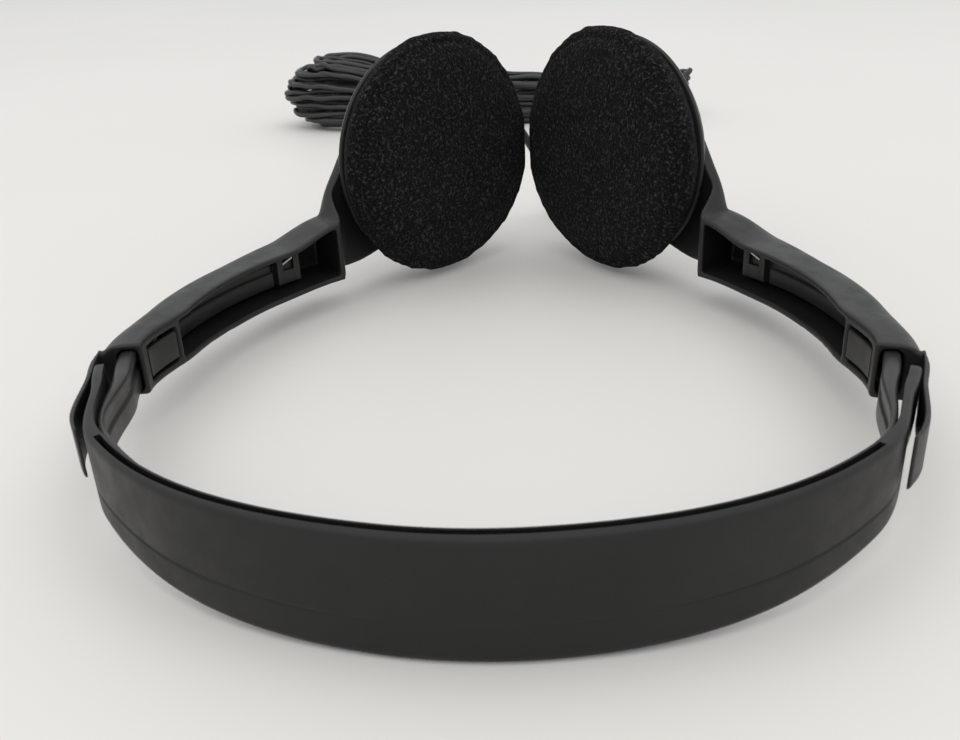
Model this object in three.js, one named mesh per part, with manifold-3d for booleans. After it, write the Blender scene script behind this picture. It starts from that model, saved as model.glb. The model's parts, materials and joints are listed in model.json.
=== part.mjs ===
// Lightweight stereo headset lying on its side on a table.
// Millimetres, +Z up, table at z = 0. The origin is the middle of the flat lower edge of the headband, at its crown.
// The headband curves about a vertical line through BOW_CENTRE; "station" angles are measured about that line,
// 0 degrees at the crown and growing towards the ear cups. side is -1 for the left half and +1 for the right.
import * as THREE from 'three';
import { mergeVertices } from 'three/addons/utils/BufferGeometryUtils.js';
import Module from 'manifold-3d';

const wasm = await Module();
wasm.setup();

// ---- driving dimensions ----
const FIT_GAP = 0.3;
const BOW_CENTRE = 73.6;

const SHELL = { outer: 75, inner: 72.5, bevel: 0.8, end: 70.2, crownHeight: 19, flatHalf: 7 };
const SHELL_TAPER = { to: 64, low: 7.2, high: 18.2 };
const SHELL_SWELL = { from: 8, outerTo: 36, outer: 1.3, innerTo: 40, inner: 1.5 };
const SHELL_TURN_IN = { outerFrom: 48, outerTo: 64, outer: 72.9, innerFrom: 50, innerTo: 66, inner: 71 };
const EDGE_SLOT = { end: 48, wall: 0.4, width: 1, depth: 3.5 };
const ADJUST_TRAVEL = 5.2;

const RAIL = { inner: 67, outer: 69.8, low: 9.2, high: 16.8, root: 36, tip: 123.5 };
const RAIL_TONGUE = { tip: 129, half: 1.1 };
const RAIL_LIFT = { innerFrom: 52, innerTo: 70, inner: 5.4, outerFrom: 50, outerTo: 69, outer: 3.95 };
const NOTCH = { first: 91, pitch: 2.6, width: 1.1, depth: 0.9, count: 12 };
const GROOVE = { depth: 0.5, half: 1.2 };
const RIVET = { station: 41, radius: 1.2, head: 2.2, headDepth: 0.8, end: 75 };
const RAIL_STOP = { from: 124.2, to: 129.6, inner: 66, outer: 70, low: 9.4, high: 16.6 };

const ARM = { low: 8, high: 18.2, mouth: 76, blockEnd: 88, channelEnd: 139, roof: 1.2, wall: 1.3, bevel: 1.8 };
const SLEEVE_HOLE = { inner: 66.5, outer: 70.2, low: 8.8, high: 17.2 };
const TONGUE = { from: 53, clearance: 0.15, thickness: 0.9, low: 8.6, high: 17.4 };
const LATCH = { from: 78.6, to: 86.4, low: 10.2, high: 15.6, thickness: 1.1, groove: 0.9 };

const CUP = { x: 21.2, y: 149.1, z: 30.7, yaw: 50.5 };
const PAD = { radius: 30.7, back: -4.6, front: 5.8, meetingGap: 1.6 };
const HOUSING_RIM = -6.4;
const CORD_EXIT = { behind: 9.3 };
const CORD_RADIUS = 1.15;

const SPLITTER = { x: 9, y: 216 };
const HANK = { left: -122, right: 63, y: 354, width: 34, bigWidth: 60, height: 18, strand: 9 };
const PLUG = { x: -86, y: 354, z: 3.4 };

// ---- colours ----
const BLACK_PLASTIC = 0x2b292a;
const RAIL_PLASTIC = 0x373436;
const FOAM_BLACK = 0x181618;
const CORD_BLACK = 0x1b1b1c;
const STEEL = 0x9a9a98;
const GOLD = 0xc9a24a;
const COPPER = 0xb4693a;
const FILM = 0xb9b6ac;

// ---- helpers ----
const radians = THREE.MathUtils.degToRad;

function plan(side, radius, station, z) {
  const angle = radians(station);
  return new THREE.Vector3(side * radius * Math.sin(angle), BOW_CENTRE - radius * Math.cos(angle), z);
}

function blend(value, from, to) {
  return THREE.MathUtils.smoothstep(value, from, to);
}

function range(from, to, step) {
  const count = Math.max(1, Math.round((to - from) / step));
  return Array.from({ length: count + 1 }, (_, i) => from + ((to - from) * i) / count);
}

function signedVolume(positions, index) {
  const p = (i) => new THREE.Vector3().fromArray(positions, 3 * i);
  let volume = 0;
  for (let i = 0; i < index.length; i += 3) {
    volume += p(index[i]).dot(p(index[i + 1]).cross(p(index[i + 2])));
  }
  return volume;
}

function bodyFrom(positions, index) {
  if (signedVolume(positions, index) < 0) {
    index = index.slice().reverse();
  }
  const geometry = new THREE.BufferGeometry();
  geometry.setAttribute('position', new THREE.Float32BufferAttribute(positions, 3));
  geometry.setIndex(index);
  geometry.computeVertexNormals();
  return geometry;
}

// Joins a row of outlines with equal point counts into one closed body. outline is the flat shape used for the ends.
function loft(rows, outline) {
  const size = outline.length;
  const positions = rows.flatMap((row) => row.flatMap((p) => [p.x, p.y, p.z]));
  const index = [];
  for (let r = 0; r < rows.length - 1; r += 1) {
    for (let i = 0; i < size; i += 1) {
      const a = r * size + i;
      const b = r * size + ((i + 1) % size);
      index.push(a, b, b + size, a, b + size, a + size);
    }
  }
  const contour = outline.map(([u, v]) => new THREE.Vector2(u, v));
  const turned = THREE.ShapeUtils.area(contour) < 0;
  const cap = THREE.ShapeUtils.triangulateShape(contour, []);
  const last = (rows.length - 1) * size;
  for (const [a, b, c] of cap) {
    const tri = turned ? [a, c, b] : [a, b, c];
    index.push(tri[0], tri[2], tri[1]);
    index.push(last + tri[0], last + tri[1], last + tri[2]);
  }
  return bodyFrom(positions, index);
}

// Sweeps a section (station -> list of [radius, z]) round the bow.
function bowSweep(side, stations, section) {
  const rows = stations.map((s) => section(s).map(([radius, z]) => plan(side, radius, s, z)));
  return loft(rows, section(stations[0]));
}

function boxSection(inner, outer, low, high) {
  return [[inner, low], [outer, low], [outer, high], [inner, high]];
}

// A channel open towards the inside of the bow, with bevelled outer corners.
function channelSection(inner, outer, low, high, wall, roof, bevel) {
  return [
    [inner, low], [outer - bevel, low], [outer, low + bevel], [outer, high - bevel], [outer - bevel, high],
    [inner, high], [inner, high - roof], [outer - wall, high - roof], [outer - wall, low + roof], [inner, low + roof],
  ];
}

function solid(geometry) {
  const plain = geometry.clone();
  plain.deleteAttribute('normal');
  plain.deleteAttribute('uv');
  const merged = mergeVertices(plain, 1e-4);
  return new wasm.Manifold(new wasm.Mesh({
    numProp: 3,
    vertProperties: new Float32Array(merged.attributes.position.array),
    triVerts: new Uint32Array(merged.index.array),
  }));
}

function geometryOf(manifold) {
  const mesh = manifold.getMesh();
  return bodyFrom(Array.from(mesh.vertProperties), Array.from(mesh.triVerts));
}

function cut(geometry, ...tools) {
  const result = tools.reduce((body, tool) => body.subtract(solid(tool)), solid(geometry));
  return geometryOf(result);
}

function join(...geometries) {
  const [first, ...rest] = geometries.map(solid);
  return geometryOf(rest.reduce((body, other) => body.add(other), first));
}

function cylinderBetween(from, to, radius, sides = 16) {
  const axis = to.clone().sub(from);
  const geometry = new THREE.CylinderGeometry(radius, radius, axis.length(), sides);
  const turn = new THREE.Quaternion().setFromUnitVectors(new THREE.Vector3(0, 1, 0), axis.clone().normalize());
  geometry.applyQuaternion(turn);
  geometry.translate(...from.clone().add(to).multiplyScalar(0.5).toArray());
  return geometry;
}

function tube(points, radius, steps, sides = 8) {
  const circle = new THREE.Shape();
  circle.absarc(0, 0, radius, 0, 2 * Math.PI);
  const curve = new THREE.CatmullRomCurve3(points.map((p) => new THREE.Vector3(...p)));
  return new THREE.ExtrudeGeometry(circle, { steps, curveSegments: sides / 2, extrudePath: curve });
}

function material(color, roughness = 0.6, metalness = 0) {
  return new THREE.MeshStandardMaterial({ color, roughness, metalness });
}

function piece(name, geometry, mat) {
  const mesh = new THREE.Mesh(geometry, mat);
  mesh.name = name;
  return mesh;
}

// ---- headband ----
function shellEdges(station) {
  const flat = THREE.MathUtils.radToDeg(SHELL.flatHalf / SHELL.outer);
  const t = Math.max(0, (Math.abs(station) - flat) / (SHELL_TAPER.to - flat));
  const low = SHELL_TAPER.low * t * t;
  const high = SHELL.crownHeight + (SHELL_TAPER.high - SHELL.crownHeight) * t * t;
  return { low, high };
}

// The headband is a little fuller than a circle, and its ends turn in towards the rails.
function shellOuter(station) {
  const s = Math.abs(station);
  const full = SHELL.outer + SHELL_SWELL.outer * blend(s, SHELL_SWELL.from, SHELL_SWELL.outerTo);
  return full + (SHELL_TURN_IN.outer - full) * blend(s, SHELL_TURN_IN.outerFrom, SHELL_TURN_IN.outerTo);
}

function shellInner(station) {
  const s = Math.abs(station);
  const full = SHELL.inner + SHELL_SWELL.inner * blend(s, SHELL_SWELL.from, SHELL_SWELL.innerTo);
  return full + (SHELL_TURN_IN.inner - full) * blend(s, SHELL_TURN_IN.innerFrom, SHELL_TURN_IN.innerTo);
}

// A bar with bevelled outer corners.
function barSection(inner, outer, low, high, bevel) {
  return [
    [inner, low], [outer - bevel, low], [outer, low + bevel], [outer, high - bevel], [outer - bevel, high],
    [inner, high],
  ];
}

function headbandShell() {
  const band = bowSweep(1, range(-SHELL.end, SHELL.end, 2.6), (s) => {
    const { low, high } = shellEdges(s);
    return barSection(shellInner(s), shellOuter(s), low, high, SHELL.bevel);
  });
  return cut(band, edgeSlot(), rivetHole(-1), rivetHole(1));
}

// A narrow slot along the upper edge, which lets the headband bend.
function edgeSlot() {
  return bowSweep(1, range(-EDGE_SLOT.end, EDGE_SLOT.end, 4), (s) => {
    const inner = shellInner(s) + EDGE_SLOT.wall;
    const { high } = shellEdges(s);
    return boxSection(inner, inner + EDGE_SLOT.width, high - EDGE_SLOT.depth, high + 1);
  });
}

function railMiddle() {
  return (RAIL.low + RAIL.high) / 2;
}

function rivetPoint(side, radius) {
  return plan(side, radius, RIVET.station, railMiddle());
}

function rivetHole(side) {
  const radius = RIVET.radius + FIT_GAP;
  return cylinderBetween(rivetPoint(side, RAIL.inner), rivetPoint(side, RIVET.end + FIT_GAP), radius, 12);
}

// Fixes the rail's root to the inside of the headband.
function railRivet(side) {
  const headFace = railInner(RIVET.station) - FIT_GAP;
  const shank = cylinderBetween(rivetPoint(side, headFace - 0.2), rivetPoint(side, RIVET.end), RIVET.radius, 12);
  const head = cylinderBetween(
    rivetPoint(side, headFace - RIVET.headDepth), rivetPoint(side, headFace), RIVET.head, 12,
  );
  return join(shank, head);
}

// ---- adjuster rail: a grooved strip with a notched upper edge, fixed in the end of the headband ----
function railTop(station) {
  const last = NOTCH.first + NOTCH.pitch * NOTCH.count;
  if (station < NOTCH.first || station > last) {
    return RAIL.high;
  }
  const inPitch = (station - NOTCH.first) % NOTCH.pitch;
  return inPitch < NOTCH.width ? RAIL.high - NOTCH.depth : RAIL.high;
}

function railStations() {
  const stations = range(RAIL.root, NOTCH.first, 2.5);
  for (let i = 0; i < NOTCH.count; i += 1) {
    const start = NOTCH.first + i * NOTCH.pitch;
    stations.push(start + 0.08, start + NOTCH.width - 0.08, start + NOTCH.width + 0.08, start + NOTCH.pitch - 0.08);
  }
  return stations.concat(RAIL.tip);
}

// The rail lies against the headband at its root and stands clear of it towards the arm.
function railInner(station) {
  return RAIL.inner + RAIL_LIFT.inner * (1 - blend(station, RAIL_LIFT.innerFrom, RAIL_LIFT.innerTo));
}

function railOuter(station) {
  return RAIL.outer + RAIL_LIFT.outer * (1 - blend(station, RAIL_LIFT.outerFrom, RAIL_LIFT.outerTo));
}

function railSection(station) {
  const middle = railMiddle();
  const top = railTop(station);
  const inner = railInner(station);
  const outer = railOuter(station);
  return [
    [inner, RAIL.low], [outer, RAIL.low], [outer, top - 0.5], [outer - 0.5, top],
    [inner, top], [inner, middle + GROOVE.half], [inner + GROOVE.depth, middle + GROOVE.half],
    [inner + GROOVE.depth, middle - GROOVE.half], [inner, middle - GROOVE.half],
  ];
}

function rail(side) {
  const strip = bowSweep(side, railStations(), railSection);
  const middle = railMiddle();
  const tongue = bowSweep(side, range(RAIL.tip - 2, RAIL_TONGUE.tip, 2.5), () => (
    boxSection(RAIL.inner + 0.6, RAIL.inner + 1.7, middle - RAIL_TONGUE.half, middle + RAIL_TONGUE.half)
  ));
  return cut(join(strip, tongue), rivetHole(side));
}

function railStop(side) {
  const stop = RAIL_STOP;
  const middle = railMiddle();
  const slot = RAIL_TONGUE.half + FIT_GAP;
  const block = bowSweep(side, range(stop.from, stop.to, 2.7), () => (
    boxSection(stop.inner, stop.outer, stop.low, stop.high)
  ));
  const hole = bowSweep(side, range(stop.from - 1, stop.to + 1, 3.7), () => (
    boxSection(RAIL.inner + 0.6 - FIT_GAP, RAIL.inner + 1.7 + FIT_GAP, middle - slot, middle + slot)
  ));
  return cut(block, hole);
}

// ---- arm: sleeve block, open channel, neck and ear-cup housing in one moulding ----
function armOuter(station) {
  return 73.4 - 2.1 * blend(station, 76, 92) + 5.2 * blend(station, 110, 140);
}

function armInner(station) {
  return 65.6 - 4.2 * blend(station, 76, 92) + 1.9 * blend(station, 122, 140);
}

function armLow(station) {
  return ARM.low - 0.9 * blend(station, 88, 110);
}

function armTop(station) {
  return ARM.high + 3 * blend(station, 126, 140);
}

function armBar(station) {
  return barSection(armInner(station), armOuter(station), armLow(station), armTop(station), ARM.bevel);
}

function sleeveBlock(side) {
  return bowSweep(side, range(ARM.mouth, ARM.blockEnd, 3), armBar);
}

// Thin lip that laps over the outside of the headband and stays clear of it through the whole travel.
function tongue(side) {
  return bowSweep(side, range(TONGUE.from, ARM.mouth + 1, 2), (s) => {
    const inner = shellOuter(s - ADJUST_TRAVEL) + TONGUE.clearance;
    const tip = 0.4 * (1 - blend(s, TONGUE.from, TONGUE.from + 5));
    const root = 0.5 * blend(s, ARM.mouth - 4, ARM.mouth + 1);
    return boxSection(inner, inner + TONGUE.thickness - tip - root, TONGUE.low, TONGUE.high);
  });
}

function cupAxes(side) {
  const yaw = radians(CUP.yaw);
  const facing = new THREE.Vector3(-side * Math.sin(yaw), -Math.cos(yaw), 0);
  const far = new THREE.Vector3(-side * Math.cos(yaw), Math.sin(yaw), 0);
  const centre = new THREE.Vector3(side * CUP.x, CUP.y, CUP.z);
  return { facing, far, centre };
}

// Neck stations in the cup's own axes: place along the cup's face, distance behind it, depth, edges and bevel.
const NECK = [
  { along: -33.5, behind: 8.6, depth: 9.6, low: 7.6, high: 22.3, bevel: 2 },
  { along: -30.4, behind: 9.4, depth: 4, low: 7.2, high: 26.5, bevel: 2.2 },
  { along: -26.6, behind: 10.2, depth: 3.7, low: 6.8, high: 31, bevel: 2.4 },
  { along: -21, behind: 11.2, depth: 3.8, low: 6.8, high: 37.5, bevel: 2.8 },
  { along: -13.6, behind: 12, depth: 3.8, low: 8, high: 43, bevel: 3 },
  { along: -4.5, behind: 10.4, depth: 3, low: 10.7, high: 48, bevel: 2.4 },
];

function armChannel(side) {
  return bowSweep(side, range(ARM.blockEnd - 1, ARM.channelEnd, 4), (s) => (
    channelSection(armInner(s), armOuter(s), armLow(s), armTop(s), ARM.wall, ARM.roof, ARM.bevel)
  ));
}

function neck(side) {
  const start = ARM.channelEnd - 1;
  const rows = [armBar(start).map(([radius, z]) => plan(side, radius, start, z))];
  const { facing, far, centre } = cupAxes(side);
  for (const { along, behind, depth, low, high, bevel } of NECK) {
    const outer = centre.clone().addScaledVector(far, along).addScaledVector(facing, -behind);
    rows.push(barSection(0, depth, low, high, bevel).map(([d, z]) => (
      outer.clone().addScaledVector(facing, depth - d).setZ(z)
    )));
  }
  return loft(rows, armBar(start));
}

function lathe(profile, segments) {
  const geometry = new THREE.LatheGeometry(profile.map(([r, t]) => new THREE.Vector2(r, t)), segments);
  const index = Array.from(geometry.index.array);
  if (signedVolume(geometry.attributes.position.array, index) < 0) {
    geometry.setIndex(index.reverse());
  }
  return geometry;
}

// Turned shape about the cup's axis: profile points are [radius, distance along the facing direction].
function turned(side, profile, segments) {
  const { facing, centre } = cupAxes(side);
  const geometry = lathe(profile, segments);
  geometry.applyQuaternion(new THREE.Quaternion().setFromUnitVectors(new THREE.Vector3(0, 1, 0), facing));
  geometry.translate(...centre.toArray());
  return geometry;
}

function housingBody(side) {
  return turned(side, [
    [0, -13.8], [9, -13.5], [16, -12.7], [21.2, -11.2], [24.4, -9.2], [25.8, -7.4], [25.8, HOUSING_RIM],
    [0, HOUSING_RIM],
  ], 36);
}

function housingCavity(side) {
  return turned(side, [
    [0, -12.3], [9, -12.1], [15, -11.5], [20, -10.2], [22.4, -9.1], [23.8, -8.1], [23.8, 4], [0, 4],
  ], 36);
}

function armShell(side) {
  const mouthHole = bowSweep(side, range(ARM.mouth - 2, ARM.blockEnd + 2, 4), () => (
    boxSection(SLEEVE_HOLE.inner, SLEEVE_HOLE.outer, SLEEVE_HOLE.low, SLEEVE_HOLE.high)
  ));
  const windowHole = bowSweep(side, range(LATCH.from - 0.3, LATCH.to + 0.8, 4), (s) => (
    boxSection(armInner(s) - 2, SLEEVE_HOLE.inner + 0.6, LATCH.low - LATCH.groove, LATCH.high + LATCH.groove)
  ));
  const { facing, far, centre } = cupAxes(side);
  const cordExit = centre.clone().addScaledVector(facing, -CORD_EXIT.behind);
  const cordHole = cylinderBetween(
    cordExit.clone().addScaledVector(far, 18), cordExit.clone().addScaledVector(far, 30), 1.7, 12,
  );
  const body = join(sleeveBlock(side), tongue(side), armChannel(side), neck(side), housingBody(side));
  return cut(body, mouthHole, windowHole, housingCavity(side), cordHole);
}

function latchTab(side) {
  const { from, to, low, high, thickness } = LATCH;
  const tab = bowSweep(side, range(from, to, 4), (s) => boxSection(armInner(s), armInner(s) + thickness, low, high));
  const tooth = bowSweep(side, range(to - 1.6, to - 0.2, 1.4), (s) => (
    boxSection(armInner(s) + 0.6, SLEEVE_HOLE.inner, low + 1.5, high - 1.5)
  ));
  return join(tab, tooth);
}

// ---- ear cup contents ----
function padRing(side) {
  return turned(side, [[20, -6.2], [27, -6.2], [27.4, -5.6], [27, -5], [20, -5], [20, -6.2]], 36);
}

// The foam cushions press each other flat where they nearly meet.
function earPad(side) {
  const { radius, back, front } = PAD;
  const cushion = turned(side, [
    [0, back], [26.5, back], [28.6, back + 1], [29.7, back + 3], [radius, back + 4.8], [29.5, front - 3.6],
    [27.6, front - 1.6], [24, front - 0.5], [14, front], [0, front],
  ], 32);
  const meeting = new THREE.BoxGeometry(40, 60, 80);
  meeting.translate(side * (PAD.meetingGap / 2 - 20), CUP.y, CUP.z);
  return cut(cushion, meeting);
}

function baffle(side) {
  const disc = new THREE.Shape();
  disc.absarc(0, 0, 23.4, 0, 2 * Math.PI);
  const rings = [{ count: 1, radius: 0 }, { count: 6, radius: 5.2 }, { count: 12, radius: 10.4 }];
  for (const { count, radius } of rings) {
    for (let i = 0; i < count; i += 1) {
      const angle = (2 * Math.PI * i) / count;
      const hole = new THREE.Path();
      hole.absarc(radius * Math.cos(angle), radius * Math.sin(angle), 1.1, 0, 2 * Math.PI, true);
      disc.holes.push(hole);
    }
  }
  const geometry = new THREE.ExtrudeGeometry(disc, { depth: 1.2, bevelEnabled: false, curveSegments: 4 });
  geometry.rotateX(-Math.PI / 2);
  geometry.translate(0, -7.9, 0);
  const { facing, centre } = cupAxes(side);
  geometry.applyQuaternion(new THREE.Quaternion().setFromUnitVectors(new THREE.Vector3(0, 1, 0), facing));
  geometry.translate(...centre.toArray());
  return geometry;
}

function driverFrame(side) {
  return turned(side, [
    [13.6, -8.2], [16, -8.2], [16, -10], [7.4, -10], [7.4, -9.3], [13.6, -9.3], [13.6, -8.2],
  ], 24);
}

function diaphragm(side) {
  return turned(side, [
    [0, -8.3], [5, -8.5], [9, -8.35], [13.2, -8.6], [13.2, -8.85], [9, -8.6], [5, -8.75], [0, -8.55],
  ], 24);
}

function voiceCoil(side) {
  return turned(side, [[5.2, -9.9], [6.1, -9.9], [6.1, -9.1], [5.2, -9.1], [5.2, -9.9]], 20);
}

function magnet(side) {
  return turned(side, [[0, -11.9], [6.6, -11.9], [7, -11.6], [7, -10.3], [0, -10.3]], 24);
}

function cordRelief(side) {
  const { facing, far, centre } = cupAxes(side);
  const geometry = lathe([[0, 26.9], [2.6, 26.9], [2.6, 28.4], [2, 29], [1.75, 35.6], [0, 35.6]], 16);
  geometry.applyQuaternion(new THREE.Quaternion().setFromUnitVectors(new THREE.Vector3(0, 1, 0), far));
  geometry.translate(...centre.clone().addScaledVector(facing, -CORD_EXIT.behind).toArray());
  return geometry;
}

// ---- cable ----
function cord(side) {
  const { facing, far, centre } = cupAxes(side);
  const [start, straight] = [36.1, 38.4].map((reach) => (
    centre.clone().addScaledVector(facing, -CORD_EXIT.behind).addScaledVector(far, reach).toArray()
  ));
  const x = SPLITTER.x + side * 2.1;
  return tube([
    start, straight, [0.35 * SPLITTER.x + side * 3, 189.5, 23], [0.8 * SPLITTER.x + side * 2.9, 194.5, 13],
    [x, 200, 4.6], [x, 207.5, 1.6], [x, SPLITTER.y - 1.1, 1.4],
  ], CORD_RADIUS, 20);
}

function ySplitter() {
  const outline = new THREE.Shape();
  outline.moveTo(-3.6, 0);
  outline.lineTo(3.6, 0);
  outline.lineTo(3.6, 4);
  outline.lineTo(2, 11);
  outline.lineTo(-2, 11);
  outline.lineTo(-3.6, 4);
  outline.closePath();
  const geometry = new THREE.ExtrudeGeometry(outline, {
    depth: 2.4, bevelThickness: 0.6, bevelSize: 0.6, bevelSegments: 1,
  });
  geometry.translate(SPLITTER.x, SPLITTER.y, 0.6);
  return geometry;
}

function mainLead() {
  const start = SPLITTER.y + 12;
  const end = HANK.y - HANK.width / 2 - FIT_GAP - 0.2;
  return tube([
    [SPLITTER.x, start, 1.5], [SPLITTER.x, start + 4, 1.5], [14, 257, 1.3], [23, 287, 1.3], [25, 314, 1.4],
    [22, end - 6, 1.8], [22, end, 2],
  ], CORD_RADIUS, 26);
}

// The folded cable: a long flat coil, wider at the plug end, tied in the middle.
function hankOutline(inset) {
  const narrow = HANK.width / 2 - inset;
  const wide = HANK.bigWidth / 2 - inset;
  const leftCentre = HANK.left + HANK.bigWidth / 2;
  const rightCentre = HANK.right - HANK.width / 2;
  const shape = new THREE.Shape();
  shape.absarc(rightCentre, 0, narrow, -Math.PI / 2, Math.PI / 2);
  shape.lineTo(leftCentre + 28, narrow);
  shape.absarc(leftCentre, 0, wide, Math.PI / 3, (5 * Math.PI) / 3);
  shape.lineTo(leftCentre + 28, -narrow);
  shape.closePath();
  return shape;
}

function cableHank() {
  const ring = hankOutline(0);
  const hole = hankOutline(HANK.strand);
  ring.holes.push(hole);
  const geometry = new THREE.ExtrudeGeometry(ring, {
    depth: HANK.height, bevelEnabled: false, curveSegments: 8,
  });
  geometry.translate(0, HANK.y, 0);
  return geometry;
}

function hankTie() {
  const gap = FIT_GAP;
  const halfWidth = HANK.width / 2;
  const inner = new THREE.Shape();
  const ring = new THREE.Shape();
  const wall = 0.8;
  ring.moveTo(-halfWidth - gap - wall, -gap);
  ring.lineTo(halfWidth + gap + wall, -gap);
  ring.lineTo(halfWidth + gap + wall, HANK.height + gap + wall);
  ring.lineTo(-halfWidth - gap - wall, HANK.height + gap + wall);
  ring.closePath();
  inner.moveTo(-halfWidth - gap, -gap - 1);
  inner.lineTo(-halfWidth - gap, HANK.height + gap);
  inner.lineTo(halfWidth + gap, HANK.height + gap);
  inner.lineTo(halfWidth + gap, -gap - 1);
  inner.closePath();
  const bridge = new THREE.ExtrudeGeometry(ring, { depth: 4, bevelEnabled: false });
  const under = new THREE.ExtrudeGeometry(inner, { depth: 6, bevelEnabled: false });
  under.translate(0, 0, -1);
  const strap = cut(bridge, under);
  strap.rotateX(Math.PI / 2);
  strap.rotateZ(Math.PI / 2);
  strap.translate(12, HANK.y, gap);
  return strap;
}

function plugLead() {
  const wall = HANK.y + HANK.width / 2 - HANK.strand - FIT_GAP - CORD_RADIUS - 0.2;
  return tube([
    [PLUG.x + 14.2, PLUG.y, PLUG.z], [PLUG.x + 18, PLUG.y, PLUG.z - 0.8], [PLUG.x + 24, PLUG.y + 3, 1.8],
    [PLUG.x + 32, wall, 1.5], [PLUG.x + 40, wall, 1.5],
  ], CORD_RADIUS, 12);
}

function alongX(profile, segments) {
  const geometry = lathe(profile, segments);
  geometry.rotateZ(-Math.PI / 2);
  geometry.translate(PLUG.x, PLUG.y, PLUG.z);
  return geometry;
}

function plugRelief() {
  return alongX([[0, 7.3], [2.4, 7.3], [1.8, 13.8], [0, 13.8]], 14);
}

function plugGrip() {
  return alongX([[0, -7], [2.7, -7], [3.2, -6.4], [3.2, 5.4], [2.6, 7], [0, 7]], 18);
}

function plugShaft() {
  return alongX([[0, -18], [1.75, -18], [1.75, -8], [2.3, -7.9], [2.3, -7.3], [0, -7.3]], 16);
}

function plugTip() {
  return alongX([[0, -21.6], [0.7, -21.4], [1.7, -20], [1.2, -19], [1.4, -18.3], [0, -18.3]], 16);
}

// ---- assembly ----
function headbandGroup() {
  const group = new THREE.Group();
  group.add(piece('headband_shell', headbandShell(), material(BLACK_PLASTIC)));
  for (const [label, side] of [['left', -1], ['right', 1]]) {
    group.add(piece(`${label}_rail`, rail(side), material(RAIL_PLASTIC, 0.5)));
    group.add(piece(`${label}_rail_rivet`, railRivet(side), material(STEEL, 0.35, 1)));
    group.add(piece(`${label}_rail_stop`, railStop(side), material(STEEL, 0.4, 1)));
  }
  return group;
}

function armGroup(label, side) {
  const group = new THREE.Group();
  group.add(piece(`${label}_arm_shell`, armShell(side), material(BLACK_PLASTIC)));
  group.add(piece(`${label}_latch_tab`, latchTab(side), material(BLACK_PLASTIC)));
  group.add(piece(`${label}_pad_ring`, padRing(side), material(BLACK_PLASTIC, 0.5)));
  group.add(piece(`${label}_ear_pad`, earPad(side), material(FOAM_BLACK, 1)));
  group.add(piece(`${label}_baffle`, baffle(side), material(BLACK_PLASTIC)));
  group.add(piece(`${label}_driver_frame`, driverFrame(side), material(BLACK_PLASTIC)));
  group.add(piece(`${label}_diaphragm`, diaphragm(side), material(FILM, 0.3)));
  group.add(piece(`${label}_voice_coil`, voiceCoil(side), material(COPPER, 0.4, 1)));
  group.add(piece(`${label}_magnet`, magnet(side), material(STEEL, 0.35, 1)));
  group.add(piece(`${label}_cord_relief`, cordRelief(side), material(CORD_BLACK, 0.7)));
  group.add(piece(`${label}_cord`, cord(side), material(CORD_BLACK, 0.6)));
  return group;
}

function cableGroup() {
  const group = new THREE.Group();
  group.add(piece('y_splitter', ySplitter(), material(CORD_BLACK, 0.6)));
  group.add(piece('main_lead', mainLead(), material(CORD_BLACK, 0.6)));
  group.add(piece('cable_hank', cableHank(), material(CORD_BLACK, 0.6)));
  group.add(piece('hank_tie', hankTie(), material(CORD_BLACK, 0.5)));
  group.add(piece('plug_lead', plugLead(), material(CORD_BLACK, 0.6)));
  group.add(piece('plug_relief', plugRelief(), material(CORD_BLACK, 0.7)));
  group.add(piece('plug_grip', plugGrip(), material(CORD_BLACK, 0.6)));
  group.add(piece('plug_shaft', plugShaft(), material(GOLD, 0.25, 1)));
  group.add(piece('plug_tip', plugTip(), material(GOLD, 0.25, 1)));
  return group;
}

const headset = new THREE.Group();
headset.add(headbandGroup(), armGroup('left', -1), armGroup('right', 1), cableGroup());

export default headset;
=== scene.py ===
import json
import math

import bmesh
import bpy
import numpy as np
from mathutils import Matrix, Vector, noise


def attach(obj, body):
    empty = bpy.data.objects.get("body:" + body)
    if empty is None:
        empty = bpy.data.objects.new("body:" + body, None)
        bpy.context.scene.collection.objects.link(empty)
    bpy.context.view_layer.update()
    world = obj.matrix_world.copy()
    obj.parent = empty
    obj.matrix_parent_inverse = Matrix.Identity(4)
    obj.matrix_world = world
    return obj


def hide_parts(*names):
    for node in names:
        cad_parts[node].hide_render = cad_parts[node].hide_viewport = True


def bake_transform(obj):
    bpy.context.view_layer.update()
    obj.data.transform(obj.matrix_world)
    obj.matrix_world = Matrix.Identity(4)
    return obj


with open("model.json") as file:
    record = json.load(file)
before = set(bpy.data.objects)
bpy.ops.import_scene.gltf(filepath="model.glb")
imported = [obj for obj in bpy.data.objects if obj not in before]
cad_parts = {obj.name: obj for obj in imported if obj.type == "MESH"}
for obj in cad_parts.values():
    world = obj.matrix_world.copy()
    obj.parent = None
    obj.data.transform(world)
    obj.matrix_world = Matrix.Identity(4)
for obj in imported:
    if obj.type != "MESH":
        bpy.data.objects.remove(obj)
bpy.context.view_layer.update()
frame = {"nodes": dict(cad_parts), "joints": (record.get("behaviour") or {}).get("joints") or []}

MM = 0.001
SIDES = (("left", -1), ("right", 1))

# The bow's centre line comes from the joints, the rest follows the CAD solids.
CENTRE_Y = frame["joints"][0]["pos_m"][1] / MM
CUP = {"x": 21.2, "y": 149.1, "z": 30.7, "yaw": 50.5}


# ---------------------------------------------------------------- geometry helpers
def plan(side, radius, station, z):
    """A point round the bow: station 0 is the crown, 90 the side; millimetres."""
    a = math.radians(station)
    return Vector((side * radius * math.sin(a), CENTRE_Y - radius * math.cos(a), z))


def ramp(value, low, high):
    t = min(1.0, max(0.0, (value - low) / (high - low)))
    return t * t * (3 - 2 * t)


def stations(start, stop, step):
    count = max(1, round((stop - start) / step))
    return [start + (stop - start) * i / count for i in range(count + 1)]


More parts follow.
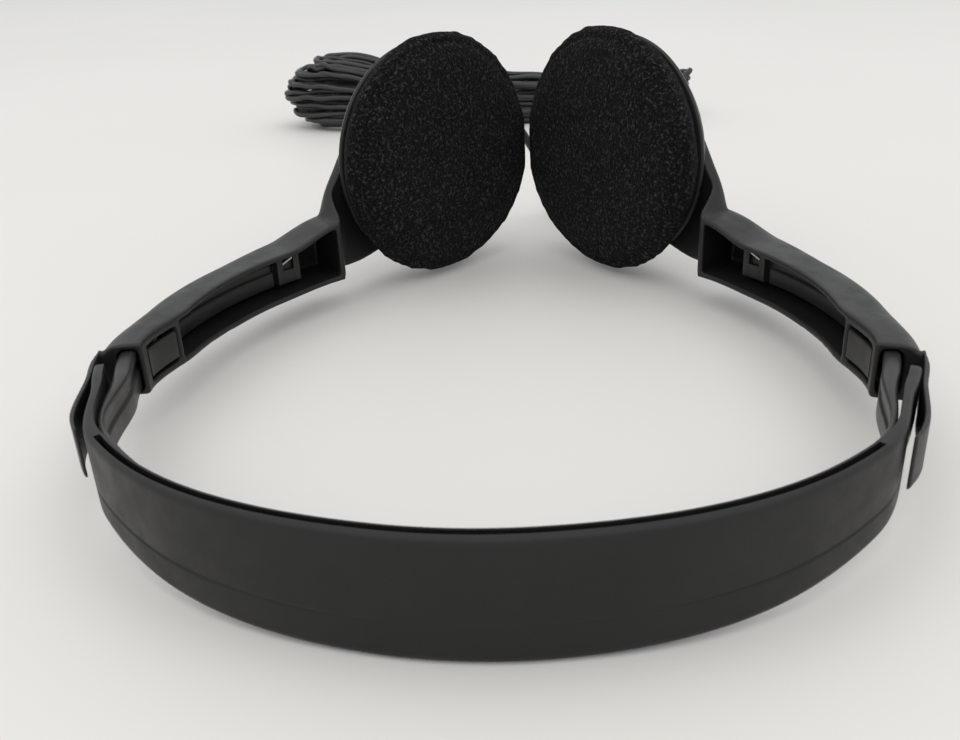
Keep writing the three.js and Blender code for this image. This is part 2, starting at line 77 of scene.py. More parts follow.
def fillet(corners, steps=4):
    """Rounds a flat outline. corners is a list of (u, v, radius)."""
    out = []
    n = len(corners)
    for i, (u, v, radius) in enumerate(corners):
        here = Vector((u, v))
        before = Vector(corners[i - 1][:2]) - here
        after = Vector(corners[(i + 1) % n][:2]) - here
        a = here + before.normalized() * min(radius, before.length * 0.48)
        b = here + after.normalized() * min(radius, after.length * 0.48)
        for k in range(steps + 1):
            t = k / steps
            p = a * (1 - t) ** 2 + here * 2 * t * (1 - t) + b * t * t
            out.append((p.x, p.y))
    return out


def new_object(name, bm, smooth_angle=38):
    bmesh.ops.recalc_face_normals(bm, faces=bm.faces)
    mesh = bpy.data.meshes.new(name)
    bm.to_mesh(mesh)
    bm.free()
    obj = bpy.data.objects.new(name, mesh)
    bpy.context.collection.objects.link(obj)
    shade(obj, smooth_angle)
    return obj


def shade(obj, angle=38):
    obj.data.shade_smooth()
    obj.data.set_sharp_from_angle(angle=math.radians(angle))


def loft(name, rows, caps=True, closed=False, smooth_angle=38):
    """Skins rows of points (millimetres), each a closed outline with the same count."""
    bm = bmesh.new()
    rings = [[bm.verts.new(Vector(p) * MM) for p in row] for row in rows]
    pairs = list(zip(rings, rings[1:]))
    if closed:
        pairs.append((rings[-1], rings[0]))
    for a, b in pairs:
        for i in range(len(a)):
            j = (i + 1) % len(a)
            bm.faces.new((a[i], a[j], b[j], b[i]))
    if caps and not closed:
        for ring in (rings[0], rings[-1]):
            face = bm.faces.new(ring)
            bmesh.ops.triangulate(bm, faces=[face])
    return new_object(name, bm, smooth_angle)


def bow_sweep(name, side, where, section, smooth_angle=38):
    rows = [[plan(side, r, s, z) for r, z in section(s)] for s in where]
    return loft(name, rows, smooth_angle=smooth_angle)


def lathe(name, profile, origin, axis, segments=96, smooth_angle=38):
    """profile lists (radius, distance along axis); it starts and ends on the axis or closes on itself."""
    turn = axis.to_track_quat("Z", "Y")
    bm = bmesh.new()
    rings = []
    for radius, along in profile:
        if radius < 1e-6:
            rings.append([bm.verts.new((origin + turn @ Vector((0, 0, along))) * MM)])
            continue
        ring = []
        for k in range(segments):
            a = 2 * math.pi * k / segments
            spoke = Vector((radius * math.cos(a), radius * math.sin(a), along))
            ring.append(bm.verts.new((origin + turn @ spoke) * MM))
        rings.append(ring)
    looped = profile[0][0] > 1e-6
    pairs = list(zip(rings, rings[1:]))
    if looped:
        pairs.append((rings[-1], rings[0]))
    for a, b in pairs:
        for k in range(segments):
            j = (k + 1) % segments
            if len(a) == 1 and len(b) == 1:
                continue
            if len(a) == 1:
                bm.faces.new((a[0], b[j], b[k]))
            elif len(b) == 1:
                bm.faces.new((a[k], a[j], b[0]))
            else:
                bm.faces.new((a[k], a[j], b[j], b[k]))
    return new_object(name, bm, smooth_angle)


def curve_points(points, count):
    """A smooth run of count points through the given ones."""
    pts = [Vector(p) for p in points]
    ext = [2 * pts[0] - pts[1]] + pts + [2 * pts[-1] - pts[-2]]
    out = []
    spans = len(pts) - 1
    for i in range(count):
        u = spans * i / (count - 1)
        k = min(int(u), spans - 1)
        t = u - k
        a, b, c, d = ext[k:k + 4]
        out.append(0.5 * ((2 * b) + (c - a) * t + (2 * a - 5 * b + 4 * c - d) * t * t
                          + (3 * b - a - 3 * c + d) * t ** 3))
    return out


def cord_mesh(name, path, radius, sides=14, closed=False):
    """A round cord along a path of points, carried with a steady frame."""
    rows = []
    n = len(path)
    normal = None
    for i, p in enumerate(path):
        ahead = path[(i + 1) % n] if closed else path[min(i + 1, n - 1)]
        behind = path[i - 1] if closed or i else path[0]
        tangent = (ahead - behind).normalized()
        if normal is None:
            normal = tangent.orthogonal().normalized()
        normal = (normal - tangent * normal.dot(tangent)).normalized()
        side = tangent.cross(normal)
        rows.append([p + radius * (math.cos(a) * normal + math.sin(a) * side)
                     for a in (2 * math.pi * k / sides for k in range(sides))])
    return loft(name, rows, closed=closed, smooth_angle=60)


def boolean(obj, tool, operation="DIFFERENCE"):
    mod = obj.modifiers.new("cut", "BOOLEAN")
    mod.operation = operation
    mod.object = tool
    mod.solver = "EXACT"
    bake(obj)
    bpy.data.objects.remove(tool)
    return obj


def bake(obj):
    """Applies every modifier."""
    dg = bpy.context.evaluated_depsgraph_get()
    mesh = bpy.data.meshes.new_from_object(obj.evaluated_get(dg))
    old = obj.data
    obj.modifiers.clear()
    obj.data = mesh
    bpy.data.meshes.remove(old)
    return obj


def joined(name, parts):
    bm = bmesh.new()
    for part in parts:
        bm.from_mesh(part.data)
        bpy.data.objects.remove(part)
    return new_object(name, bm)


def fuse(obj, voxel, smoothing):
    """One skin over overlapping closed parts, with its edges eased like a moulding's."""
    mod = obj.modifiers.new("fuse", "REMESH")
    mod.mode = "VOXEL"
    mod.voxel_size = voxel * MM
    mod.use_smooth_shade = True
    ease = obj.modifiers.new("ease", "SMOOTH")
    ease.factor = 0.5
    ease.iterations = smoothing
    bake(obj)
    obj.data.shade_smooth()
    return obj


def cup_axes(side):
    yaw = math.radians(CUP["yaw"])
    facing = Vector((-side * math.sin(yaw), -math.cos(yaw), 0))
    far = Vector((-side * math.cos(yaw), math.sin(yaw), 0))
    centre = Vector((side * CUP["x"], CUP["y"], CUP["z"]))
    return facing, far, centre


# ---------------------------------------------------------------- materials
class Nodes:
    """A short way to wire a material."""

    def __init__(self, name):
        self.mat = bpy.data.materials.new(name)
        self.mat.use_nodes = True
        self.tree = self.mat.node_tree
        self.tree.nodes.clear()
        self.coords = self.tree.nodes.new("ShaderNodeTexCoord").outputs["Object"]
        self.out = self.tree.nodes.new("ShaderNodeOutputMaterial")

    def add(self, kind, inputs=None, **props):
        node = self.tree.nodes.new(kind)
        for key, value in props.items():
            setattr(node, key, value)
        for key, value in (inputs or {}).items():
            self.set(node.inputs[key], value)
        return node

    def set(self, socket, value):
        if isinstance(value, bpy.types.NodeSocket):
            self.tree.links.new(value, socket)
        else:
            socket.default_value = value

    def noise(self, scale, detail=3.0, roughness=0.55):
        return self.add("ShaderNodeTexNoise", {
            "Vector": self.coords, "Scale": scale, "Detail": detail, "Roughness": roughness,
        }).outputs["Fac"]

    def remap(self, value, low, high, to_low, to_high):
        return self.add("ShaderNodeMapRange", {
            "Value": value, "From Min": low, "From Max": high, "To Min": to_low, "To Max": to_high,
        }).outputs["Result"]

    def mix(self, factor, a, b):
        node = self.add("ShaderNodeMix", data_type="RGBA")
        self.set(node.inputs[0], factor)
        self.set(node.inputs[6], a)
        self.set(node.inputs[7], b)
        return node.outputs[2]

    def bump(self, height, strength, distance, normal=None):
        inputs = {"Height": height, "Strength": strength, "Distance": distance}
        if normal is not None:
            inputs["Normal"] = normal
        return self.add("ShaderNodeBump", inputs).outputs["Normal"]

    def finish(self, **inputs):
        shader = self.add("ShaderNodeBsdfPrincipled")
        for key, value in inputs.items():
            self.set(shader.inputs[key.replace("_", " ")], value)
        self.tree.links.new(shader.outputs[0], self.out.inputs["Surface"])
        return self.mat


def grey(level, tint=(1.0, 1.0, 1.0)):
    return (level * tint[0], level * tint[1], level * tint[2], 1.0)


WARM = (1.04, 0.99, 1.0)


def worn_edges(n, low=0.505, high=0.56):
    pointiness = n.add("ShaderNodeNewGeometry").outputs["Pointiness"]
    return n.remap(pointiness, low, high, 0.0, 1.0)


def moulded_plastic(name, level, roughness=0.5, grain=0.00004, edge=2.2):
    """Black moulded plastic: fine spark-eroded grain, faint clouding, rubbed edges."""
    n = Nodes(name)
    cloud = n.noise(60.0, 4.0)
    speck = n.noise(1400.0, 2.0)
    base = n.mix(n.remap(cloud, 0.3, 0.7, 0.0, 1.0), grey(level * 0.86, WARM), grey(level * 1.14, WARM))
    base = n.mix(n.remap(speck, 0.62, 0.8, 0.0, 0.35), base, grey(level * 1.9, WARM))
    base = n.mix(n.remap(worn_edges(n), 0.0, 1.0, 0.0, 0.45), base, grey(level * edge, WARM))
    rough = n.remap(n.noise(240.0, 3.0), 0.3, 0.7, roughness - 0.06, roughness + 0.07)
    fine = n.bump(n.noise(2600.0, 2.0), 0.55, grain)
    normal = n.bump(n.noise(420.0, 2.0), 0.25, grain, fine)
    return n.finish(Base_Color=base, Roughness=rough, Normal=normal, Specular_IOR_Level=0.3)


def foam_cloth(name, level):
    """Open-cell foam with a short felted surface, its pores darkened with painted shade."""
    n = Nodes(name)
    cells = n.add("ShaderNodeTexVoronoi", {"Vector": n.coords, "Scale": 1500.0}).outputs["Distance"]
    fuzz = n.noise(1900.0, 5.0, 0.75)
    fleck = n.remap(n.noise(1300.0, 3.0, 0.7), 0.52, 0.7, 0.0, 1.0)
    cloud = n.remap(n.noise(90.0, 3.0), 0.3, 0.7, 0.0, 1.0)
    base = n.mix(cloud, grey(level * 0.6, WARM), grey(level * 1.0, WARM))
    base = n.mix(fleck, base, grey(level * 15.0, (1.0, 0.95, 1.03)))
    # painted shade: the pits of the pores (near the Voronoi points, low in the bump) are darkened in the
    # base colour
    base = n.mix(n.remap(cells, 0.0, 0.35, 0.6, 0.0), base, grey(level * 0.25))
    height = n.add("ShaderNodeMath", {0: fuzz, 1: cells}, operation="ADD").outputs[0]
    normal = n.bump(height, 1.0, 0.0007)
    return n.finish(Base_Color=base, Roughness=0.97, Normal=normal, Sheen_Weight=0.03,
                    Sheen_Roughness=0.6, Specular_IOR_Level=0.06)


def cable_jacket(name, level):
    n = Nodes(name)
    cloud = n.noise(130.0, 3.0)
    base = n.mix(n.remap(cloud, 0.3, 0.7, 0.0, 1.0), grey(level * 0.8), grey(level * 1.25))
    dust = n.remap(n.noise(900.0, 3.0), 0.6, 0.8, 0.0, 0.25)
    base = n.mix(dust, base, grey(level * 3.0))
    rough = n.remap(n.noise(300.0, 2.0), 0.3, 0.7, 0.34, 0.5)
    normal = n.bump(n.noise(700.0, 2.0), 0.3, 0.00008)
    return n.finish(Base_Color=base, Roughness=rough, Normal=normal)


def brushed_metal(name, colour, roughness=0.3):
    n = Nodes(name)
    mapping = n.add("ShaderNodeMapping", {"Vector": n.coords, "Scale": (1.0, 9.0, 9.0)})
    lines = n.add("ShaderNodeTexNoise", {
        "Vector": mapping.outputs[0], "Scale": 500.0, "Detail": 3.0,
    }).outputs["Fac"]
    dark = tuple(c * 0.78 for c in colour[:3]) + (1.0,)
    base = n.mix(n.remap(lines, 0.3, 0.7, 0.0, 1.0), dark, colour)
    rough = n.remap(n.noise(350.0), 0.3, 0.7, roughness - 0.08, roughness + 0.12)
    normal = n.bump(lines, 0.25, 0.00003)
    return n.finish(Base_Color=base, Roughness=rough, Metallic=1.0, Normal=normal)


def film_material(name, colour):
    n = Nodes(name)
    rings = n.noise(420.0, 2.0)
    base = n.mix(n.remap(rings, 0.3, 0.7, 0.0, 1.0), tuple(c * 0.8 for c in colour[:3]) + (1.0,), colour)
    return n.finish(Base_Color=base, Roughness=0.25, Normal=n.bump(rings, 0.2, 0.00005))


def table_material():
    n = Nodes("table_top")
    cloud = n.noise(2.2, 3.0)
    fine = n.noise(60.0, 4.0)
    base = n.mix(n.remap(cloud, 0.3, 0.7, 0.0, 1.0), (0.70, 0.685, 0.655, 1), (0.74, 0.725, 0.70, 1))
    base = n.mix(n.remap(fine, 0.3, 0.7, 0.0, 0.25), base, (0.72, 0.70, 0.67, 1))
    return n.finish(Base_Color=base, Roughness=0.55, Normal=n.bump(fine, 0.05, 0.0002))


MATS = {
    "shell": moulded_plastic("band_plastic", 0.0095, 0.46),
    "arm": moulded_plastic("arm_plastic", 0.0115, 0.42),
    "rail": moulded_plastic("rail_plastic", 0.018, 0.36, 0.00002),
    "ring": moulded_plastic("ring_plastic", 0.014, 0.32, 0.00002),
    "foam": foam_cloth("foam", 0.0042),
    "cable": cable_jacket("cable_jacket", 0.016),
    "rubber": moulded_plastic("relief_rubber", 0.017, 0.6, 0.00003, 1.6),
    "steel": brushed_metal("steel", (0.62, 0.61, 0.59, 1)),
    "gold": brushed_metal("gold", (0.86, 0.66, 0.27, 1), 0.2),
    "copper": brushed_metal("copper", (0.72, 0.36, 0.2, 1), 0.35),
    "film": film_material("film", (0.62, 0.6, 0.55, 1)),
}


def place(obj, material, body, *nodes):
    """Paints a piece, lets it ride on its body and stand for its CAD nodes."""
    obj.data.materials.clear()
    obj.data.materials.append(MATS[material])
    if body:
        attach(obj, body)
    if nodes:
        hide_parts(*nodes)
    return obj


def paint_cad(node, material):
    obj = frame["nodes"][node]
    obj.data.materials.clear()
    obj.data.materials.append(MATS[material])
    obj.data.shade_smooth()
    split = obj.modifiers.new("crisp", "EDGE_SPLIT")
    split.split_angle = math.radians(35)


# ---------------------------------------------------------------- headband
SHELL_END = 70.2
TRAVEL = 5.2


def shell_edges(station):
    t = max(0.0, (abs(station) - 5.35) / (64 - 5.35))
    return 7.2 * t * t, 19.0 - 0.8 * t * t


def shell_outer(station):
    """A little fuller than a circle between crown and side, turned in at the ends."""
    full = 75 + 1.3 * ramp(abs(station), 8, 36)
    return full + (72.9 - full) * ramp(abs(station), 48, 64)


def shell_inner(station):
    full = 72.5 + 1.5 * ramp(abs(station), 8, 40)
    return full + (71 - full) * ramp(abs(station), 50, 66)


def shell_section(station):
    low, high = shell_edges(station)
    inner, outer = shell_inner(station), shell_outer(station)
    part = 0.3 * math.exp(-((abs(station) - 38) / 20.0) ** 2)
    line = low + 0.32 * (high - low)
    return fillet([
        (inner, low, 0.5), (outer, low, 1.3), (outer, line - 0.35, 0.1), (outer - part, line, 0.1),
        (outer, line + 0.35, 0.1), (outer, high, 1.3), (inner, high, 0.15),
    ], 6)


def edge_slot(station):
    inner, high = shell_inner(station) + 0.4, shell_edges(station)[1]
    return [(inner, high - 3.5), (inner + 1, high - 3.5), (inner + 1, high + 1), (inner, high + 1)]


def headband():
    shell = bow_sweep("headband", 1, stations(-SHELL_END, SHELL_END, 0.8), shell_section)
    boolean(shell, bow_sweep("slot", 1, stations(-48, 48, 0.8), edge_slot))
    shade(shell)
    place(shell, "shell", "headband", "headband_shell")


# ---------------------------------------------------------------- rails
RAIL = {"low": 9.2, "high": 16.8}


def rail_inner(station):
    """The rail lies against the headband at its root and stands clear of it towards the arm."""
    return 67 + 5.4 * (1 - ramp(station, 52, 70))


def rail_outer(station):
    return 69.8 + 3.95 * (1 - ramp(station, 50, 69))


def rail(label, side):
    """The grooved adjuster strip with its row of click notches."""
    middle = (RAIL["low"] + RAIL["high"]) / 2 + 0.9
    notch_from, pitch, count = 91.0, 2.6, 12

    def section(station):
        top = RAIL["high"]
        inner, outer = rail_inner(station), rail_outer(station)
        phase = (station - notch_from) / pitch
        if 0 <= phase < count:
            top -= 0.9 * (1 - ramp(abs((phase % 1.0) - 0.21), 0.14, 0.26))
        return fillet([
            (inner, RAIL["low"], 0.4), (outer, RAIL["low"], 0.5), (outer, top, 1.0), (inner, top, 0.8),
            (inner, middle + 1.0, 0.3), (inner + 0.5, middle + 0.7, 0.25), (inner + 0.5, middle - 0.9, 0.25),
            (inner, middle - 1.3, 0.3),
        ], 3)

    strip = bow_sweep(f"{label}_rail_strip", side, stations(36, 123.5, 0.25), section, 30)
    tongue = bow_sweep("tongue", side, stations(122, 129, 1), lambda s: fillet([
        (67.6, 11.9, 0.2), (68.7, 11.9, 0.2), (68.7, 14.1, 0.2), (67.6, 14.1, 0.2)], 2))
    place(joined(f"{label}_rail_strip", [strip, tongue]), "rail", "headband", f"{label}_rail")


def rail_stop(label, side):
    """The stop that keeps the rail from leaving the arm, with the bright end of its spring wire."""
    def section(_):
        return fillet([(66.0, 9.4, 0.4), (70.0, 9.4, 0.4), (70.0, 16.6, 0.9), (66.0, 16.6, 0.7)], 4)
    block = bow_sweep(f"{label}_rail_end", side, stations(124.2, 129.6, 0.6), section)
    slot = bow_sweep("slot", side, stations(125.6, 128.2, 0.5), lambda s: [
        (65, 12.6), (66.8, 12.6), (66.8, 18), (65, 18)])
    place(boolean(block, slot), "rail", "headband", f"{label}_rail_stop")
    shade(block, 30)
    path = [plan(side, 66.4, 125.7 + 0.3 * k, 14.2 + 0.12 * k) for k in range(9)]
    place(cord_mesh(f"{label}_stop_wire", path, 0.32), "steel", "headband")


# ---------------------------------------------------------------- arms
ARM = {"high": 18.2, "mouth": 76.0, "block_end": 88.0, "channel_end": 139.0}


def arm_outer(station):
    return 73.4 - 2.1 * ramp(station, 76, 92) + 5.2 * ramp(station, 110, 140)


def arm_inner(station):
    return 65.6 - 4.2 * ramp(station, 76, 92) + 1.9 * ramp(station, 122, 140)


def arm_low(station):
    return 8 - 0.9 * ramp(station, 88, 110)


def arm_top(station):
    return ARM["high"] + 3 * ramp(station, 126, 140)


def arm_bar(station):
    inner, outer, low, top = arm_inner(station), arm_outer(station), arm_low(station), arm_top(station)
    return fillet([(inner, low, 0.7), (outer, low, 2.2), (outer, top, 4.4), (inner, top, 0.8)], 6)


def arm_channel_section(station):
    inner, outer, low, top = arm_inner(station), arm_outer(station), arm_low(station), arm_top(station)
    return fillet([
        (inner, low, 0.4), (outer, low, 2.2), (outer, top, 4.4), (inner, top, 0.6), (inner, top - 1.2, 0.4),
        (outer - 1.3, top - 1.3, 3.0), (outer - 1.3, low + 1.2, 0.8), (inner, low + 1.2, 0.4),
    ], 5)


# place along the cup's face, distance behind it, depth, lower edge, upper edge, rounding
NECK = [
    (-33.5, 8.6, 9.6, 7.6, 22.3, 3.6), (-30.4, 9.4, 4.0, 7.2, 26.5, 3.0), (-26.6, 10.2, 3.7, 6.8, 31, 2.8),
    (-21, 11.2, 3.8, 6.8, 37.5, 3.0), (-13.6, 12.0, 3.8, 8.0, 43, 3.2), (-4.5, 10.4, 3.0, 10.7, 48, 2.6),
]


def neck(side):
    """The flare from the arm into the ear-cup housing."""
    facing, far, centre = cup_axes(side)
    start = ARM["channel_end"] - 1
    inner_point, outer_point = plan(side, arm_inner(start), start, 0), plan(side, arm_outer(start), start, 0)
    keys = [[*outer_point[:2], *inner_point[:2], arm_low(start), arm_top(start), 4.2]]
    for along, behind, depth, low, high, rounding in NECK:
        outer = centre + far * along - facing * behind
        inner = outer + facing * depth
        keys.append([*outer[:2], *inner[:2], low, high, rounding])
    keys = np.array(keys)
    rows = []
    steps = 8
    for i in range((len(keys) - 1) * steps + 1):
        u = i / steps
        k = min(int(u), len(keys) - 2)
        t = u - k
        p = [keys[max(0, min(len(keys) - 1, k + d))] for d in (-1, 0, 1, 2)]
        ox, oy, ix, iy, low, high, rounding = 0.5 * (
            2 * p[1] + (p[2] - p[0]) * t + (2 * p[0] - 5 * p[1] + 4 * p[2] - p[3]) * t * t
            + (3 * p[1] - p[0] - 3 * p[2] + p[3]) * t ** 3)
        depth = math.hypot(ox - ix, oy - iy)
        outline = fillet([(0, low, 0.8), (depth, low, rounding), (depth, high, rounding), (0, high, 0.8)], 6)
        direction = Vector((ox - ix, oy - iy, 0)) / depth
        rows.append([Vector((ix, iy, 0)) + direction * d + Vector((0, 0, z)) for d, z in outline])
    return loft("neck", rows)


def housing(side):
    facing, _, centre = cup_axes(side)
    dome = [(0, -13.8), (5, -13.7), (9, -13.5), (13, -13.1), (16, -12.6), (19, -11.9), (21.2, -11.1),
            (23.2, -10), (24.7, -8.8), (25.5, -7.8), (25.8, -7.1), (25.8, -6.6), (25.5, -6.4), (24.1, -6.4),
            (23.8, -6.7), (23.8, -8.1), (22.4, -9.1), (20, -10.2), (15, -11.5), (9, -12.1), (0, -12.3)]
    return lathe("dome", dome, centre, facing)


def tongue_section(station):
    """The lip that laps over the headband and stays clear of it through the whole travel."""
    inner = shell_outer(station - TRAVEL) + 0.15
    outer = inner + 0.9 - 0.4 * (1 - ramp(station, 53, 58)) - 0.5 * ramp(station, 72, 77)
    return fillet([(inner, 8.6, 0.15), (outer, 8.6, 0.4), (outer, 17.4, 0.4), (inner, 17.4, 0.15)], 3)


def arm(label, side):
    """Sleeve block, adjuster channel, neck and housing: one moulding."""
    block = bow_sweep("block", side, stations(ARM["mouth"], ARM["block_end"], 1), arm_bar)
    mouth = bow_sweep("mouth", side, stations(74, 90, 1), lambda s: fillet(
        [(66.5, 8.8, 0.8), (70.2, 8.8, 0.8), (70.2, 17.2, 1.4), (66.5, 17.2, 1.1)], 3))
    boolean(block, mouth)
    window = bow_sweep("window", side, stations(78.4, 87.3, 1), lambda s: [
        (arm_inner(s) - 2, 9.3), (67.2, 9.3), (67.2, 16.5), (arm_inner(s) - 2, 16.5)])
    boolean(block, window)
    tongue = bow_sweep("tongue", side, stations(53, 77, 0.5), tongue_section)
    channel = bow_sweep(
        "channel", side, stations(ARM["block_end"] - 1, ARM["channel_end"], 1), arm_channel_section)
    shell = joined(f"{label}_arm", [block, tongue, channel, neck(side), housing(side)])
    fuse(shell, 0.36, 3)
    place(shell, "arm", f"{label}_arm", f"{label}_arm_shell")


def latch(label, side):
    """The springy release tab in the sleeve's inner face."""
    tab = bow_sweep(f"{label}_latch", side, stations(78.5, 86.4, 0.4), lambda s: fillet([
        (arm_inner(s), 10.2, 0.3), (arm_inner(s) + 1.1, 10.2, 0.2), (arm_inner(s) + 1.1, 15.6, 0.2),
        (arm_inner(s), 15.6, 0.3)], 3))
    tooth = bow_sweep("tooth", side, stations(84.8, 86.2, 0.7), lambda s: fillet([
        (arm_inner(s) + 0.6, 11.7, 0.2), (66.5, 11.7, 0.3), (66.5, 14.1, 0.3),
        (arm_inner(s) + 0.6, 14.1, 0.2)], 2))
    place(joined(f"{label}_latch", [tab, tooth]), "arm", f"{label}_latch", f"{label}_latch_tab")


# ---------------------------------------------------------------- foam pads
def pad_profile(inset):
    r, front, back = 31.0 - inset, 5.9 - inset, -4.6
    return [(0, back), (26.5 - inset, back), (28.6 - inset, back + 1), (29.7 - inset, back + 3),
            (r, back + 4.8), (r - 0.5, front - 3.6), (27.6 - inset, front - 1.6), (24 - inset, front - 0.5),
            (14, front), (0, front)]


def swell(obj, cap):
    """Blows the cushion up a little as cloth, then keeps the result."""
    rest = np.array([v.co[:] for v in obj.data.vertices])
    cloth = obj.modifiers.new("cloth", "CLOTH")
    cloth.settings.use_pressure = True
    cloth.settings.uniform_pressure_force = 4.0
    cloth.settings.tension_stiffness = 25
    cloth.settings.compression_stiffness = 25
    cloth.settings.bending_stiffness = 1.5
    cloth.settings.effector_weights.gravity = 0
    cloth.point_cache.frame_start = 1
    cloth.point_cache.frame_end = 20
    for f in range(1, 21):
        bpy.context.scene.frame_set(f)
    dg = bpy.context.evaluated_depsgraph_get()
    moved = np.array([v.co[:] for v in obj.evaluated_get(dg).data.vertices])
    step = moved - rest
    length = np.linalg.norm(step, axis=1, keepdims=True)
    step *= np.minimum(1.0, cap * MM / np.maximum(length, 1e-9))
    obj.modifiers.clear()
    obj.data.vertices.foreach_set("co", (rest + step).ravel())
    bpy.context.scene.frame_set(1)
    obj.data.update()


def foam_pad(label, side):
    facing, far, centre = cup_axes(side)
    pad = lathe(f"{label}_foam_pad", pad_profile(0.7), centre, facing, 64)
    mod = pad.modifiers.new("even", "REMESH")
    mod.mode = "VOXEL"
    mod.voxel_size = 1.8 * MM
    bake(pad)
    swell(pad, 1.2)
    sub = pad.modifiers.new("fine", "SUBSURF")
    sub.levels = sub.render_levels = 2
    bake(pad)
    ease = pad.modifiers.new("ease", "SMOOTH")
    ease.factor = 0.5
    ease.iterations = 10
    bake(pad)
    shape_foam(pad, side, facing, far, centre)
    pad.data.shade_smooth()
    place(pad, "foam", f"{label}_arm", f"{label}_ear_pad")


def shape_foam(pad, side, facing, far, centre):
    """Seam round the face, a dished middle, lumpy felt, and the flats where it touches something."""
    co = np.array([v.co[:] for v in pad.data.vertices]) / MM
    rel = co - np.array(centre)
    depth = rel @ np.array(facing)
    across = rel @ np.array(far)
    radius = np.hypot(across, rel[:, 2])
    out = np.stack([across, rel[:, 2]], 1) / np.maximum(radius, 1e-6)[:, None]
    spoke = out[:, :1] * np.array(far) + out[:, 1:] * np.array((0, 0, 1))
    front = np.clip((depth - 1.5) / 3.0, 0, 1)
    rise = np.clip(rel[:, 2] / 20.0, -1, 1)
    swelling = np.clip(across / 30.0, 0, 1) ** 2 * (1.6 - 1.6 * rise)
    co += swelling[:, None] * (np.array(far) - np.array((0, 0, 0.3)))
    seam = np.exp(-((radius - 27.6) / 0.6) ** 2) * front
    co -= (seam * 1.1)[:, None] * (np.array(facing) * 0.8 + spoke * 0.6)
    dish = np.exp(-(radius / 14.0) ** 2) * front
    co -= (dish * 0.5)[:, None] * np.array(facing)
    lumps = np.array([noise.noise(Vector(p) * 0.16) * 0.35 + noise.noise(Vector(p) * 0.9) * 0.1 for p in co])
    co += lumps[:, None] * (np.array(facing) * front[:, None] + spoke * (1 - front[:, None]) * 0.6)
    co[:, 2] = np.maximum(co[:, 2], 0.15)
    co[:, 0] = side * np.maximum(side * co[:, 0], 0.75)
    depth = (co - np.array(centre)) @ np.array(facing)
    co += np.maximum(0, -4.6 - depth)[:, None] * np.array(facing)
    pad.data.vertices.foreach_set("co", (co * MM).ravel())
    pad.data.update()


# ---------------------------------------------------------------- cup parts
def cup_parts(label, side):
    facing, far, centre = cup_axes(side)
    ring = lathe(f"{label}_retainer", [(20, -6.2), (26.9, -6.2), (27.2, -6.0), (27.4, -5.6), (27.2, -5.2),
                                      (26.9, -5.0), (20, -5.0)], centre, facing, 128)
    place(ring, "ring", f"{label}_arm", f"{label}_pad_ring")
    exit_point = centre - facing * 9.3
    profile = [(0, 26.9), (2.6, 26.9), (2.7, 27.1), (2.7, 28.3), (2.3, 28.8)]
    for k in range(5):
        t = 29.2 + k * 1.25
        r = 2.15 - 0.08 * k
        profile += [(r, t), (r, t + 0.6), (r - 0.35, t + 0.75), (r - 0.35, t + 1.1)]
    profile += [(1.5, 35.5), (1.2, 35.6), (0, 35.6)]
    relief = lathe(f"{label}_relief", profile, exit_point, far, 32, 30)
    place(relief, "rubber", f"{label}_arm", f"{label}_cord_relief")
    for node, material in (("baffle", "ring"), ("driver_frame", "ring"), ("diaphragm", "film"),
                           ("voice_coil", "copper"), ("magnet", "steel")):
        paint_cad(f"{label}_{node}", material)


# ---------------------------------------------------------------- lead
SPLITTER = (9.0, 216.0)
HANK = {"left": -122.0, "right": 63.0, "y": 354.0}


def cup_cord(label, side):
    facing, far, centre = cup_axes(side)
    start = centre - facing * 9.3
    x = SPLITTER[0] + side * 2.1
    path = curve_points([
        start + far * 35.2, start + far * 38.4, (0.35 * SPLITTER[0] + side * 3, 189.5, 23),
        (0.8 * SPLITTER[0] + side * 2.9, 194.5, 13), (x, 200, 4.6), (x, 207.5, 1.6),
        (x, SPLITTER[1] + 0.6, 1.5)], 90)
    cord = cord_mesh(f"{label}_cup_cord", path, 1.15)
    place(cord, "cable", None, f"{label}_cord")
    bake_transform(cord)


def splitter():
    x, y = SPLITTER
    rows = []
    for t in stations(0, 1, 0.05):
        half = 4.0 - 1.9 * ramp(t, 0.3, 0.85)
        tall = 1.75 - 0.35 * ramp(t, 0.4, 1.0)
        ease = min(1.0, 0.72 + 2.5 * min(t, 1 - t))
        outline = fillet([(-half, -tall, 1.1), (half, -tall, 1.1), (half, tall, 1.1), (-half, tall, 1.1)], 5)
        rows.append([Vector((x + u * ease, y - 0.2 + 11.6 * t, 1.85 + v * ease)) for u, v in outline])
    place(loft("lead_splitter", rows), "rubber", "headband", "y_splitter")


def main_lead():
    x, y = SPLITTER
    path = curve_points([(x, y + 11, 1.5), (x, y + 16, 1.5), (14, 257, 1.3), (23, 287, 1.3), (25, 314, 1.4),
                         (22, 330, 1.8), (20, 338, 3), (14, 342, 5)], 110)
    place(cord_mesh("straight_lead", path, 1.15), "cable", "headband", "main_lead")


